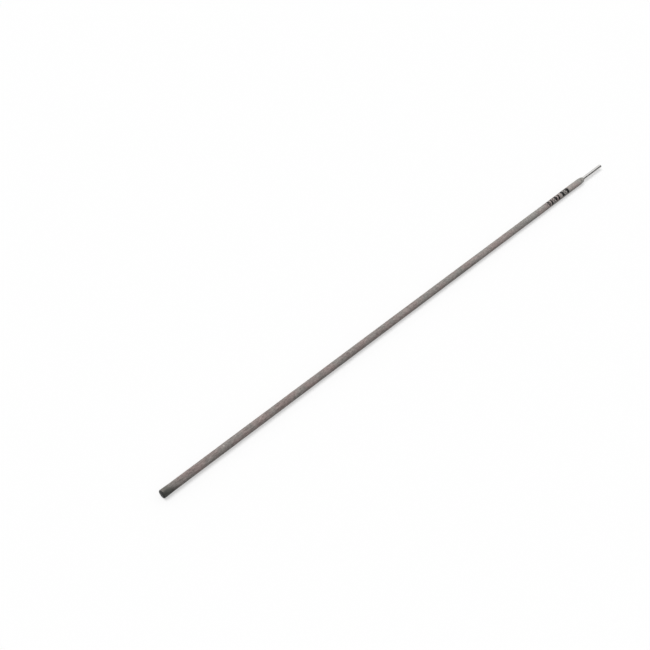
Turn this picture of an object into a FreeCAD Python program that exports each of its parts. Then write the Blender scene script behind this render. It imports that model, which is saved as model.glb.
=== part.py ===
"""Stick welding electrode: a drawn steel core wire, an extruded flux coat and a graphite dip on the striking end.

Row frame, in millimetres: the origin is the centre of the core wire's cropped end, where a holder grips it.
The electrode lies along X with its striking end towards -X, and +Z is up.
A half section has x along the electrode and its height as the distance from the axis, so what turns it
about the sketch's horizontal axis makes the round piece.
"""

import FreeCAD
import Part
import Sketcher
import math
import os
from enum import IntEnum

# The driving dimensions, in millimetres
SIZES = {
    "ElectrodeLength": 350.0,  # core wire from its cropped end to the striking face
    "WireDiameter": 2.5,  # drawn core wire, and so the bore of the coat
    "WireEdgeBreak": 0.2,  # bevel that brushing leaves round the cropped end
    "BareLength": 21.0,  # wire stripped bare for the holder
    "CoatThickness": 0.8,  # extruded flux round the wire, so the electrode is 4.1 across
    "ShoulderLength": 4.5,  # brushed run-out of the coat beside the bare wire
    "NoseRadius": 0.4,  # blunt nose that the shoulder ends in
    "LipThickness": 0.1,  # flat left between the nose and the wire
    "StrikeRadius": 0.6,  # rounded rim of the coat at the striking end
    "DipThickness": 0.12,  # starting graphite over the striking face and rim
    "DipReach": 4.6,  # how far the dip runs up the side of the coat
    "DipEdge": 0.03,  # thickness of the dip where it stops
}


class Spot(IntEnum):
    """A sketch's numbers for the points of an edge."""

    START = 1
    END = 2
    CENTRE = 3


# The outside of the coat, as the sheet works it out
COAT_RADIUS = "Sizes.WireDiameter / 2 + Sizes.CoatThickness"

# Degrees
FULL_TURN = 360

# The sketch's own axis along the electrode, and its origin as a point of that axis
AXIS = -1
ORIGIN = (AXIS, Spot.START)


def make_sheet(doc):
    """The spreadsheet of driving dimensions, one alias to a row."""
    sheet = doc.addObject("Spreadsheet::Sheet", "Sizes")
    for row, (alias, size) in enumerate(SIZES.items(), start=1):
        sheet.set("A%d" % row, alias)
        sheet.set("B%d" % row, str(size))
        sheet.setAlias("B%d" % row, alias)
    doc.recompute()
    return sheet


def sizes(sheet, *aliases):
    """The sheet's values for these aliases, from which a section is first drawn."""
    return [float(sheet.get(alias)) for alias in aliases]


def new_body(doc, name):
    """An empty body whose label is the node's name."""
    body = doc.addObject("PartDesign::Body", name)
    body.Label = name
    return body


def new_sketch(body, name, plane_role):
    """A sketch on one of the body's own origin planes, found by its role."""
    plane = next(item for item in body.Origin.OriginFeatures if item.Role == plane_role)
    sketch = body.newObject("Sketcher::SketchObject", name)
    sketch.AttachmentSupport = [(plane, "")]
    sketch.MapMode = "FlatFace"
    return sketch


def point(x, radius):
    """A point of a half section."""
    return FreeCAD.Vector(x, radius, 0)


def arc(centre, radius, start, end):
    """An arc of a half section, anticlockwise between two angles in radians."""
    circle = Part.Circle(centre, FreeCAD.Vector(0, 0, 1), radius)
    return Part.ArcOfCircle(circle, start, end)


def half_section(body, name, edges):
    """A sketch on the body's XZ plane that holds the named edges, and their numbers in it."""
    sketch = new_sketch(body, name, "XZ_Plane")
    numbers = {label: sketch.addGeometry(edge) for label, edge in edges.items()}
    return sketch, numbers


def constrain(sketch, kind, *where):
    """A geometric constraint on edges or points of the sketch."""
    sketch.addConstraint(Sketcher.Constraint(kind, *where))


def drive(sketch, name, kind, where, value, expression):
    """A named dimension of the sketch, bound to the sheet."""
    number = sketch.addConstraint(Sketcher.Constraint(kind, *where, value))
    sketch.renameConstraint(number, name)
    sketch.setExpression("Constraints." + name, expression)


def drive_reach(sketch, name, edge, end, expression):
    """How far an edge's end lies from the origin, towards the striking end."""
    value = -sketch.getPoint(edge, end).x
    drive(sketch, name, "DistanceX", (edge, end) + ORIGIN, value, expression)


def drive_height(sketch, name, edge, end, expression):
    """How far an edge's end lies from the electrode's axis."""
    value = sketch.getPoint(edge, end).y
    drive(sketch, name, "DistanceY", ORIGIN + (edge, end), value, expression)


def drive_radius(sketch, name, edge, expression):
    """The radius of an arc."""
    drive(sketch, name, "Radius", (edge,), sketch.Geometry[edge].Radius, expression)


def revolve(body, name, sketch):
    """Turn the half section right round the electrode's axis."""
    turned = body.newObject("PartDesign::Revolution", name)
    turned.Profile = (sketch, [""])
    turned.ReferenceAxis = (sketch, ["H_Axis"])
    turned.Angle = FULL_TURN


def edge_nearest_grip(shape):
    """The name of the edge that lies wholly at the grip end, which is the rim of the wire's cropped face."""
    starts = [edge.BoundBox.XMin for edge in shape.Edges]
    return "Edge%d" % (starts.index(max(starts)) + 1)


def make_core_wire(doc, sheet):
    """The drawn wire, whole from the cropped end to the striking face, with a brushed bevel at the grip."""
    (diameter,) = sizes(sheet, "WireDiameter")
    body = new_body(doc, "core_wire")

    section = new_sketch(body, "WireSection", "YZ_Plane")
    circle = section.addGeometry(Part.Circle(point(0, 0), FreeCAD.Vector(0, 0, 1), diameter / 2))
    constrain(section, "Coincident", circle, Spot.CENTRE, *ORIGIN)
    drive(section, "WireDiameter", "Diameter", (circle,), diameter, "Sizes.WireDiameter")

    drawn = body.newObject("PartDesign::Pad", "DrawnWire")
    drawn.Profile = (section, [""])
    drawn.Reversed = True
    drawn.setExpression("Length", "Sizes.ElectrodeLength")
    doc.recompute()

    bevel = body.newObject("PartDesign::Chamfer", "CroppedEndBevel")
    bevel.Base = (drawn, [edge_nearest_grip(drawn.Shape)])
    bevel.setExpression("Size", "Sizes.WireEdgeBreak")
    return body


def make_flux_coating(doc, sheet):
    """The extruded coat: a rounded rim at the striking end, and a brushed shoulder with a blunt nose at the grip.

    Two arcs make the shoulder: a long sweep that leaves the side smoothly, and the nose that it runs into.
    """
    length, bare, shoulder = sizes(sheet, "ElectrodeLength", "BareLength", "ShoulderLength")
    diameter, flux, rim = sizes(sheet, "WireDiameter", "CoatThickness", "StrikeRadius")
    nose, lip = sizes(sheet, "NoseRadius", "LipThickness")
    wire = diameter / 2
    coat = wire + flux
    full = bare + shoulder
    drop = flux - lip
    run = shoulder - nose
    # The sweep's radius, from its centre's distance to the nose's centre being the difference of the radii
    sweep = (run**2 + drop**2 - nose**2) / (2 * (drop - nose))
    meet = math.acos(run / (sweep - nose))
    quarter = math.pi / 2

    body = new_body(doc, "flux_coating")
    section, edge = half_section(
        body,
        "CoatSection",
        {
            "bore": Part.LineSegment(point(-length, wire), point(-bare, wire)),
            "lip": Part.LineSegment(point(-bare, wire), point(-bare, wire + lip)),
            "nose": arc(point(-bare - nose, wire + lip), nose, 0, meet),
            "shoulder": arc(point(-full, coat - sweep), sweep, meet, quarter),
            "side": Part.LineSegment(point(-full, coat), point(rim - length, coat)),
            "rim": arc(point(rim - length, coat - rim), rim, quarter, 2 * quarter),
            "face": Part.LineSegment(point(-length, coat - rim), point(-length, wire)),
        },
    )
    constrain(section, "Coincident", edge["bore"], Spot.END, edge["lip"], Spot.START)
    constrain(section, "Tangent", edge["lip"], Spot.END, edge["nose"], Spot.START)
    constrain(section, "Tangent", edge["nose"], Spot.END, edge["shoulder"], Spot.START)
    constrain(section, "Tangent", edge["shoulder"], Spot.END, edge["side"], Spot.START)
    constrain(section, "Tangent", edge["side"], Spot.END, edge["rim"], Spot.START)
    constrain(section, "Tangent", edge["rim"], Spot.END, edge["face"], Spot.START)
    constrain(section, "Coincident", edge["face"], Spot.END, edge["bore"], Spot.START)
    constrain(section, "Horizontal", edge["bore"])
    constrain(section, "Vertical", edge["lip"])
    constrain(section, "Horizontal", edge["side"])
    constrain(section, "Vertical", edge["face"])
    drive_reach(section, "Bare", edge["bore"], Spot.END, "Sizes.BareLength")
    drive_reach(section, "Full", edge["side"], Spot.START, "Sizes.BareLength + Sizes.ShoulderLength")
    drive_reach(section, "Length", edge["bore"], Spot.START, "Sizes.ElectrodeLength")
    drive_height(section, "Bore", edge["bore"], Spot.START, "Sizes.WireDiameter / 2")
    drive_height(section, "Lip", edge["lip"], Spot.END, "Sizes.WireDiameter / 2 + Sizes.LipThickness")
    drive_height(section, "Side", edge["side"], Spot.START, COAT_RADIUS)
    drive_radius(section, "Nose", edge["nose"], "Sizes.NoseRadius")
    drive_radius(section, "Rim", edge["rim"], "Sizes.StrikeRadius")

    revolve(body, "ExtrudedCoat", section)
    return body


def make_graphite_tip(doc, sheet):
    """The dip of starting graphite: a thin cap over the striking face and rim that fades out along the coat."""
    length, diameter, flux, rim = sizes(
        sheet, "ElectrodeLength", "WireDiameter", "CoatThickness", "StrikeRadius"
    )
    thick, reach, thin = sizes(sheet, "DipThickness", "DipReach", "DipEdge")
    coat = diameter / 2 + flux
    quarter = math.pi / 2
    rim_centre = point(rim - length, coat - rim)

    body = new_body(doc, "graphite_tip")
    section, edge = half_section(
        body,
        "DipSection",
        {
            "axis": Part.LineSegment(point(-length - thick, 0), point(-length, 0)),
            "inner_face": Part.LineSegment(point(-length, 0), point(-length, coat - rim)),
            "inner_rim": arc(rim_centre, rim, quarter, 2 * quarter),
            "inner_side": Part.LineSegment(point(rim - length, coat), point(reach - length, coat)),
            "edge": Part.LineSegment(point(reach - length, coat), point(reach - length, coat + thin)),
            "outer_side": Part.LineSegment(
                point(reach - length, coat + thin), point(rim - length, coat + thick)
            ),
            "outer_rim": arc(rim_centre, rim + thick, quarter, 2 * quarter),
            "outer_face": Part.LineSegment(point(-length - thick, coat - rim), point(-length - thick, 0)),
        },
    )
    constrain(section, "Coincident", edge["axis"], Spot.END, edge["inner_face"], Spot.START)
    constrain(section, "Tangent", edge["inner_face"], Spot.END, edge["inner_rim"], Spot.END)
    constrain(section, "Tangent", edge["inner_rim"], Spot.START, edge["inner_side"], Spot.START)
    constrain(section, "Coincident", edge["inner_side"], Spot.END, edge["edge"], Spot.START)
    constrain(section, "Coincident", edge["edge"], Spot.END, edge["outer_side"], Spot.START)
    constrain(section, "Coincident", edge["outer_side"], Spot.END, edge["outer_rim"], Spot.START)
    constrain(section, "Tangent", edge["outer_rim"], Spot.END, edge["outer_face"], Spot.START)
    constrain(section, "Coincident", edge["outer_face"], Spot.END, edge["axis"], Spot.START)
    constrain(section, "PointOnObject", edge["axis"], Spot.START, AXIS)
    constrain(section, "PointOnObject", edge["axis"], Spot.END, AXIS)
    constrain(section, "Vertical", edge["inner_face"])
    constrain(section, "Horizontal", edge["inner_side"])
    constrain(section, "Vertical", edge["edge"])
    constrain(section, "Vertical", edge["outer_face"])
    constrain(section, "Coincident", edge["outer_rim"], Spot.CENTRE, edge["inner_rim"], Spot.CENTRE)
    constrain(section, "Vertical", edge["outer_rim"], Spot.CENTRE, edge["outer_rim"], Spot.START)
    drive_reach(section, "Length", edge["inner_face"], Spot.START, "Sizes.ElectrodeLength")
    drive_reach(section, "Outer", edge["outer_face"], Spot.END, "Sizes.ElectrodeLength + Sizes.DipThickness")
    drive_reach(section, "Reach", edge["edge"], Spot.START, "Sizes.ElectrodeLength - Sizes.DipReach")
    drive_height(section, "Side", edge["inner_side"], Spot.START, COAT_RADIUS)
    drive_height(section, "Edge", edge["edge"], Spot.END, COAT_RADIUS + " + Sizes.DipEdge")
    drive_radius(section, "Rim", edge["inner_rim"], "Sizes.StrikeRadius")

    revolve(body, "DriedDip", section)
    return body


def check(doc, bodies):
    """Stop before anything is written if an object failed, a sketch is loose or a piece isn't one sound solid."""
    for item in doc.Objects:
        if {"Invalid", "Error"} & set(item.State):
            raise RuntimeError("%s failed: %s" % (item.Label, item.State))
        if item.isDerivedFrom("Sketcher::SketchObject") and not item.FullyConstrained:
            raise RuntimeError("%s isn't fully constrained" % item.Label)
    for body in bodies:
        if body.Shape.isNull() or not body.Shape.isValid() or len(body.Shape.Solids) != 1:
            raise RuntimeError("%s isn't one sound solid" % body.Label)


def main():
    """Build the pieces, check them and write one STEP file for each."""
    doc = FreeCAD.newDocument("StickElectrode")
    sheet = make_sheet(doc)
    bodies = [
        make_core_wire(doc, sheet),
        make_flux_coating(doc, sheet),
        make_graphite_tip(doc, sheet),
    ]
    doc.recompute()
    check(doc, bodies)
    os.makedirs("parts", exist_ok=True)
    for body in bodies:
        box = body.Shape.BoundBox
        print("%s: %.2f mm3, x %.2f to %.2f mm" % (body.Label, body.Shape.Volume, box.XMin, box.XMax))
        body.Shape.exportStep("parts/%s.step" % body.Label)


main()
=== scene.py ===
"""Looks of one stick welding electrode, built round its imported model.

Lengths are in metres, in the row frame: the electrode lies along X, its cropped grip end is at the
origin and its striking end points to -X. The core wire, the flux coat and the graphite dip are round
skins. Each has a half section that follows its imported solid, and one Geometry Nodes tree turns the
sections about the axis and gives them their fine relief. A second tree prints the row of ink marks
round the coat, on the same relief.
"""

import logging
import math
from collections.abc import Callable
from dataclasses import dataclass, field
from enum import Enum
from typing import Any

import bpy
from mathutils import Euler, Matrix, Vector


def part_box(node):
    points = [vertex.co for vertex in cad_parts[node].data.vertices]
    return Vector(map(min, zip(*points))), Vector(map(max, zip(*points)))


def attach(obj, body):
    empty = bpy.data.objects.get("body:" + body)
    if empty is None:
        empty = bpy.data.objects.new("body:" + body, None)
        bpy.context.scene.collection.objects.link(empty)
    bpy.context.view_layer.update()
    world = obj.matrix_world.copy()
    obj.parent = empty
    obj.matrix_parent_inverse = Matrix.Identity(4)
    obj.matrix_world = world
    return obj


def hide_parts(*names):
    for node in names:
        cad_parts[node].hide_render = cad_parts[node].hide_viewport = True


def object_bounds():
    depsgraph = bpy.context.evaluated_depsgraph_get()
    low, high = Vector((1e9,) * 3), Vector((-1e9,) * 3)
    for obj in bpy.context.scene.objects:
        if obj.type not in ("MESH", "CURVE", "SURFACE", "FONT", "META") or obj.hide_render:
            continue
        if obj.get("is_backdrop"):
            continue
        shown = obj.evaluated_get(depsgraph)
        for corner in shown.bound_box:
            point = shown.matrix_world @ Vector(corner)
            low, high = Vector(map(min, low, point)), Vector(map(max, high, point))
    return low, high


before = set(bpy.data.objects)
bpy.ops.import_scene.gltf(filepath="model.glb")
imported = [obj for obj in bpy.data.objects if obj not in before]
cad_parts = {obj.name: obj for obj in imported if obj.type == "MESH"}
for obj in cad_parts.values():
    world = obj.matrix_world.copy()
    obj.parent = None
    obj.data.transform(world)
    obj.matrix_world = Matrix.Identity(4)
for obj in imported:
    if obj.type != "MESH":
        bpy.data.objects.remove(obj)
cad_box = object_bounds()

log = logging.getLogger("electrode")

MM = 0.001
TURN = 2 * math.pi
BODY = "root"

# Name of the map that the bakes of a finished piece are drawn on
BAKE_MAP = "OFBake"

# A brush mark is this many times as long as it is wide
SCOUR_STRETCH = 5.0

# Picks the cells of the print's faint end that are missing
MISSED_SEED = 7

# Height of the bake map that is left empty between two lanes, on each side
LANE_GUTTER = 0.004

# Blender's noise lies mostly within an eighth of its middle, so this brings it to about -1 to 1
NOISE_SPREAD = 4.0
NOISE_MIDDLE = 0.5

Colour = tuple[float, float, float]
Point = tuple[float, float]
Shares = tuple[float, ...]


class Packed(Enum):
    """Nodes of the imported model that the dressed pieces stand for."""

    CORE_WIRE = "core_wire"
    FLUX_COATING = "flux_coating"
    GRAPHITE_TIP = "graphite_tip"

    def extent(self) -> tuple[Vector, Vector]:
        """Return the node's lowest and highest corners."""
        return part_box(self.value)


class Slot(Enum):
    """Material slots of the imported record."""

    WIRE = "bright_wire"
    COAT = "flux_coat"
    GRAPHITE = "starting_graphite"


class Socket(Enum):
    """Kinds of socket that the trees and groups take and give."""

    NUMBER = "NodeSocketFloat"
    COUNT = "NodeSocketInt"
    VECTOR = "NodeSocketVector"
    COLOUR = "NodeSocketColor"
    SHAPE = "NodeSocketGeometry"
    MATERIAL = "NodeSocketMaterial"


class Flow:
    """A number that a node gives, so that a tree can be written with sums and products."""

    def __init__(self, board: "NodeBoard", socket: bpy.types.NodeSocket) -> None:
        """Keep the socket and the board that it is on."""
        self.board = board
        self.socket = socket

    def __add__(self, other: Any) -> "Flow":
        """Return the sum."""
        return self.board.math("ADD", self, other)

    def __sub__(self, other: Any) -> "Flow":
        """Return the difference."""
        return self.board.math("SUBTRACT", self, other)

    def __rsub__(self, other: Any) -> "Flow":
        """Return what is left of other."""
        return self.board.math("SUBTRACT", other, self)

    def __mul__(self, other: Any) -> "Flow":
        """Return the product."""
        return self.board.math("MULTIPLY", self, other)

    def __truediv__(self, other: Any) -> "Flow":
        """Return the quotient."""
        return self.board.math("DIVIDE", self, other)

    __radd__ = __add__
    __rmul__ = __mul__


class NodeBoard:
    """A node tree, with short ways to place nodes on it and to join them.

    Attributes:
        tree: the node tree itself.
    """

    def __init__(self, tree: bpy.types.NodeTree) -> None:
        """Work on an existing tree."""
        self.tree = tree
        self._given: Any = None
        self._result: Any = None

    @classmethod
    def new(
        cls, name: str, kind: str, takes: dict[str, Socket], gives: dict[str, Socket]
    ) -> "NodeBoard":
        """Make a node group with named inputs and outputs.

        Args:
            name: name of the group.
            kind: Blender's type of tree.
            takes: kind of each input, by name.
            gives: kind of each output, by name.

        Returns:
            A board on the new group.
        """
        tree = bpy.data.node_groups.new(name, kind)
        for label, socket in takes.items():
            tree.interface.new_socket(label, in_out="INPUT", socket_type=socket.value)
        for label, socket in gives.items():
            tree.interface.new_socket(label, in_out="OUTPUT", socket_type=socket.value)
        board = cls(tree)
        board._given = board.place("NodeGroupInput").outputs
        board._result = board.place("NodeGroupOutput").inputs
        return board

    def given(self, label: str) -> Flow:
        """Return the group's input of that name."""
        return Flow(self, self._given[label])

    def give(self, label: str, value: Any) -> None:
        """Feed the group's output of that name."""
        self.feed(self._result[label], value)

    def place(self, kind: str, feeds: dict | None = None, **settings: Any) -> bpy.types.Node:
        """Place a node.

        Args:
            kind: Blender's type of node.
            feeds: what each input gets, by its name or number.
            settings: the node's own properties.

        Returns:
            The new node.
        """
        node = self.tree.nodes.new(kind)
        for label, value in settings.items():
            setattr(node, label, value)
        for label, value in (feeds or {}).items():
            self.feed(node.inputs[label], value)
        return node

    def feed(self, socket: bpy.types.NodeSocket, value: Any) -> None:
        """Link a flow or a socket to an input, or set the input's own value."""
        source = value.socket if isinstance(value, Flow) else value
        if isinstance(source, bpy.types.NodeSocket):
            self.tree.links.new(source, socket)
        else:
            socket.default_value = source

    def flow(self, node: bpy.types.Node, output: str | int = 0) -> Flow:
        """Return one output of a node."""
        return Flow(self, node.outputs[output])

    def math(self, operation: str, *values: Any) -> Flow:
        """Return what a Math node makes of its values."""
        return self.flow(self.place("ShaderNodeMath", dict(enumerate(values)), operation=operation))

    def step(self, value: Any, start: Any, end: Any) -> Flow:
        """Return a smooth rise from 0 at start to 1 at end."""
        feeds = {"Value": value, "From Min": start, "From Max": end}
        return self.flow(self.place("ShaderNodeMapRange", feeds, interpolation_type="SMOOTHSTEP"))

    def parts(self, vector: Any) -> tuple[Flow, Flow, Flow]:
        """Return the X, Y and Z of a vector."""
        node = self.place("ShaderNodeSeparateXYZ", {"Vector": vector})
        return self.flow(node, "X"), self.flow(node, "Y"), self.flow(node, "Z")

    def vector(self, x: Any, y: Any, z: Any) -> Flow:
        """Return a vector made of three numbers."""
        return self.flow(self.place("ShaderNodeCombineXYZ", {"X": x, "Y": y, "Z": z}))

    def around(self, along: Any, radius: Flow, angle: Flow) -> Flow:
        """Return the place at a distance and an angle round the electrode's axis."""
        cosine, sine = self.math("COSINE", angle), self.math("SINE", angle)
        return self.vector(along, radius * cosine, radius * sine)

    def stretched(self, vector: Any, length: Any, width: Any) -> Flow:
        """Return a vector in units of a length along the electrode and a width across it."""
        feeds = {0: vector, 1: self.vector(length, width, width)}
        return self.flow(self.place("ShaderNodeVectorMath", feeds, operation="DIVIDE"))

    def noise(self, vector: Any, detail: float, seed: Any) -> Flow:
        """Return smooth noise from about -1 to 1, with features one unit across."""
        feeds = {"Vector": vector, "W": seed, "Scale": 1.0, "Detail": detail}
        node = self.place("ShaderNodeTexNoise", feeds, noise_dimensions="4D")
        return (self.flow(node) - NOISE_MIDDLE) * NOISE_SPREAD

    def blend(self, share: Any, first: Any, second: Any, mode: str = "MIX") -> Flow:
        """Return a colour between two, or their product and the like by mode."""
        feeds = {0: share, 6: opaque(first), 7: opaque(second)}
        node = self.place("ShaderNodeMix", feeds, data_type="RGBA", blend_type=mode)
        return self.flow(node, 2)

    def use(self, group: "NodeBoard", feeds: dict[str, Any]) -> dict[str, Flow]:
        """Place a group and return its outputs by name."""
        node = self.place(self.tree.bl_idname.replace("Tree", "Group"), node_tree=group.tree)
        for label, value in feeds.items():
            self.feed(node.inputs[label], value)
        return {socket.name: Flow(self, socket) for socket in node.outputs}


def opaque(colour: Any) -> Any:
    """Return a written colour with its alpha, and any other value as it is."""
    return (*colour, 1.0) if isinstance(colour, tuple) else colour


def from_end(end: float, span: Point) -> Point:
    """Return two distances from an end as places."""
    return end + span[0], end + span[1]


@dataclass(frozen=True)
class ReliefSizes:
    """How far a skin departs from its half section.

    Attributes:
        swell: height of the long, soft swells of its girth.
        swell_length: length of one swell.
        line_depth: height of the fine lines along it, from its die.
        line_width: width of one line.
        line_length: length of one line.
        scour_depth: height of the brush marks across it.
        scour_width: width of one brush mark.
        edge_drift: how far a ragged edge wanders along the electrode.
        drift_width: width of one notch of a ragged edge.
        seed: picks the pattern.
    """

    swell: float = 0.0
    swell_length: float = 14 * MM
    line_depth: float = 0.0
    line_width: float = 0.5 * MM
    line_length: float = 9 * MM
    scour_depth: float = 0.0
    scour_width: float = 0.35 * MM
    edge_drift: float = 0.0
    drift_width: float = 0.9 * MM
    seed: float = 0.0

    def as_inputs(self) -> dict[str, float]:
        """Return the sizes by the names of the trees' inputs."""
        return {
            "Swell": self.swell,
            "Swell Length": self.swell_length,
            "Line Depth": self.line_depth,
            "Line Width": self.line_width,
            "Line Length": self.line_length,
            "Seed": self.seed,
        }

    def as_edge_inputs(self) -> dict[str, float]:
        """Return the sizes that only a turned skin takes, by the names of its inputs."""
        return {
            "Scour Depth": self.scour_depth,
            "Scour Width": self.scour_width,
            "Edge Drift": self.edge_drift,
            "Drift Width": self.drift_width,
        }


RELIEF_INPUTS = {name: Socket.NUMBER for name in ReliefSizes().as_inputs()}
EDGE_INPUTS = {name: Socket.NUMBER for name in ReliefSizes().as_edge_inputs()}
ENDING_INPUTS = {"Sharp Angle": Socket.NUMBER, "Weld": Socket.NUMBER, "Material": Socket.MATERIAL}


@dataclass(frozen=True)
class Ring:
    """A point of a half section, which the tree turns into a ring.

    Attributes:
        x: place along the electrode.
        radius: distance from the axis.
        relief: share that it takes of the swells and lines.
        scour: share that it takes of the brush marks.
        drift: share that it takes of a ragged edge's wander.
    """

    x: float
    radius: float
    relief: float = 0.0
    scour: float = 0.0
    drift: float = 0.0


Finish = Callable[[float, float], Ring]


class HalfSection:
    """The rings of a skin in order, and the lanes that they take on its bake map."""

    def __init__(self, x: float, radius: float, finish: Finish) -> None:
        """Start a section.

        Args:
            x: place of the first ring along the electrode.
            radius: its distance from the axis.
            finish: makes a ring of a place and a radius, with its shares of the relief.
        """
        self.rings = [finish(x, radius)]
        self.lanes: list[tuple[int, int, float]] = []

    def line(self, x: float, radius: float, steps: int, finish: Finish) -> "HalfSection":
        """Run straight to a place and radius in equal steps, and return the section."""
        start = self.rings[-1]
        for step in range(1, steps + 1):
            share = step / steps
            here = start.x + (x - start.x) * share
            self.rings.append(finish(here, start.radius + (radius - start.radius) * share))
        return self

    def arc(self, centre: Point, radius: float, span: Point, steps: int, finish: Finish) -> "HalfSection":
        """Run along an arc in equal steps.

        Args:
            centre: place and distance from the axis of the arc's centre.
            radius: radius of the arc.
            span: angles in radians from which and to which it runs, from +X towards the outside.
            steps: number of steps.
            finish: as for the first ring.

        Returns:
            The section itself.
        """
        start, end = span
        for step in range(1, steps + 1):
            angle = start + (end - start) * step / steps
            x = centre[0] + radius * math.cos(angle)
            self.rings.append(finish(x, centre[1] + radius * math.sin(angle)))
        return self

    def lane(self, height: float, folds: int = 1) -> "HalfSection":
        """Give the rings since the last lane a height of the bake map, folded into equal lanes."""
        first = self.lanes[-1][1] if self.lanes else 0
        last = len(self.rings) - 1
        marks = [round(first + (last - first) * fold / folds) for fold in range(folds + 1)]
        self.lanes += [(low, high, height / folds) for low, high in zip(marks, marks[1:])]
        return self

    def mesh(self, name: str) -> bpy.types.Mesh:
        """Return the rings as points, with what the tree reads from them as attributes."""
        mesh = bpy.data.meshes.new(name)
        mesh.from_pydata([(ring.x, 0.0, ring.radius) for ring in self.rings], [], [])
        reach = [0.0]
        for near, far in zip(self.rings, self.rings[1:]):
            reach.append(reach[-1] + math.hypot(far.x - near.x, far.radius - near.radius))
        columns = {
            "reach": reach,
            "relief": [ring.relief for ring in self.rings],
            "scour": [ring.scour for ring in self.rings],
            "drift": [ring.drift for ring in self.rings],
        }
        columns |= self._lane_columns(reach)
        for label, values in columns.items():
            mesh.attributes.new(label, "FLOAT", "POINT").data.foreach_set("value", values)
        return mesh

    def _lane_columns(self, reach: list[float]) -> dict[str, list[float]]:
        """Work out each ring's lane.

        Args:
            reach: how far along the section each ring is.

        Returns:
            The lane's bottom and top on the map, and its start and end along the section, by ring.
        """
        columns = {label: [0.0] * len(self.rings) for label in ("bottom", "top", "start", "end")}
        bottom = 0.0
        for low, high, height in self.lanes:
            for ring in range(low, high):
                columns["bottom"][ring] = bottom + LANE_GUTTER
                columns["top"][ring] = bottom + height - LANE_GUTTER
                columns["start"][ring] = reach[low]
                columns["end"][ring] = reach[high]
            bottom += height
        return columns


def relief_group() -> NodeBoard:
    """Build the group that gives the height of the swells and die lines at a place on the electrode."""
    takes = {"Along": Socket.NUMBER, "Angle": Socket.NUMBER, "Girth": Socket.NUMBER} | RELIEF_INPUTS
    board = NodeBoard.new("die_relief", "GeometryNodeTree", takes, {"Rise": Socket.NUMBER})
    place = board.around(board.given("Along"), board.given("Girth"), board.given("Angle"))
    swells = board.stretched(place, board.given("Swell Length"), board.given("Swell Length"))
    lines = board.stretched(place, board.given("Line Length"), board.given("Line Width"))
    seed = board.given("Seed")
    rise = board.noise(swells, 1.0, seed) * board.given("Swell")
    board.give("Rise", rise + board.noise(lines, 2.0, seed + 1.0) * board.given("Line Depth"))
    return board


def relief_rise(board: NodeBoard, relief: NodeBoard, along: Flow, angle: Flow) -> Flow:
    """Return the relief's height at a place on the electrode, in a tree that takes its sizes."""
    feeds = {"Along": along, "Angle": angle, "Girth": board.given("Girth")}
    feeds |= {label: board.given(label) for label in RELIEF_INPUTS}
    return board.use(relief, feeds)["Rise"]


def mapped_shape(board: NodeBoard, shape: bpy.types.NodeSocket, u: Flow, v: Flow) -> bpy.types.Node:
    """Store a bake map on a shape's corners, and return the node."""
    feeds = {"Geometry": shape, "Name": BAKE_MAP}
    mapped = board.place("GeometryNodeStoreNamedAttribute", feeds, data_type="FLOAT2", domain="CORNER")
    board.feed(mapped.inputs["Value"], board.vector(u, v, 0.0))
    return mapped


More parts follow.
